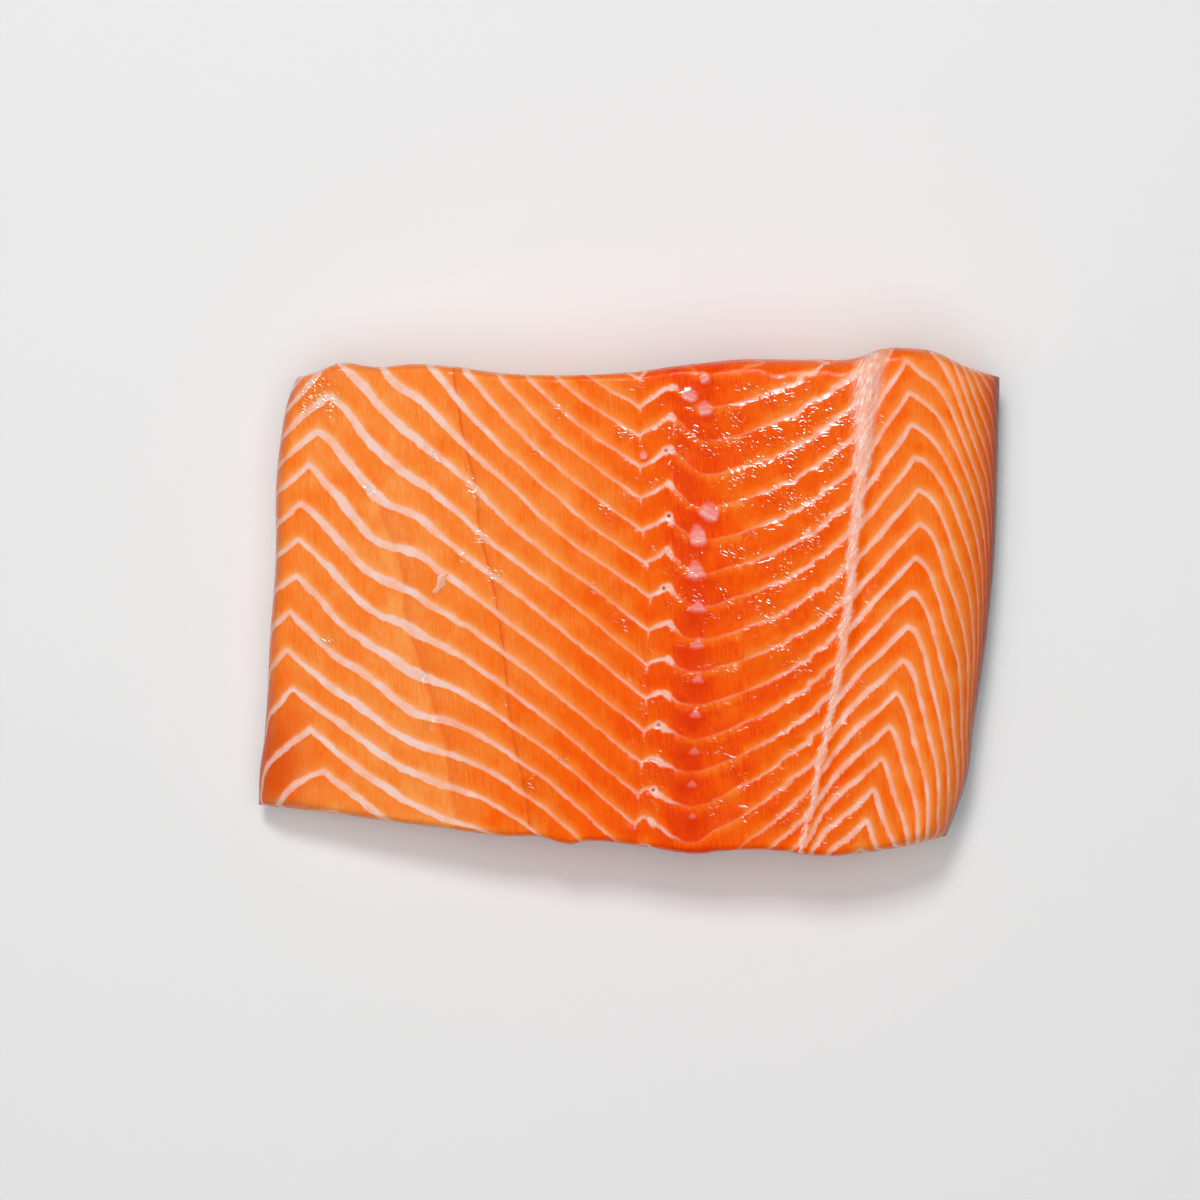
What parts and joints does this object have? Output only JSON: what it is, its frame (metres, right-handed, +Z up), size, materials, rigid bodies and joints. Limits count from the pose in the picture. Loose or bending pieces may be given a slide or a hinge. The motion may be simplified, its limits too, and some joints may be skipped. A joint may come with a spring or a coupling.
{
  "type": "salmon portion",
  "caption": "Raw salmon portion cut straight across the fillet, lying on its skin, flesh side up, with marbled folds from belly to back.",
  "frame": {"origin": "middle of the bounding box, on the flat underside", "axes": "+X from the thin belly edge to the thick back edge, +Y along the fish, +Z up out of the flesh side"},
  "size_m": [0.1796, 0.1226, 0.0286],
  "materials": {
    "salmon_flesh": "wet, slightly translucent raw orange flesh with pale fat lines; silvery skin underneath"
  },
  "bodies": {
    "root": {"salmon_portion": "salmon_flesh"}
  },
  "joints": []
}
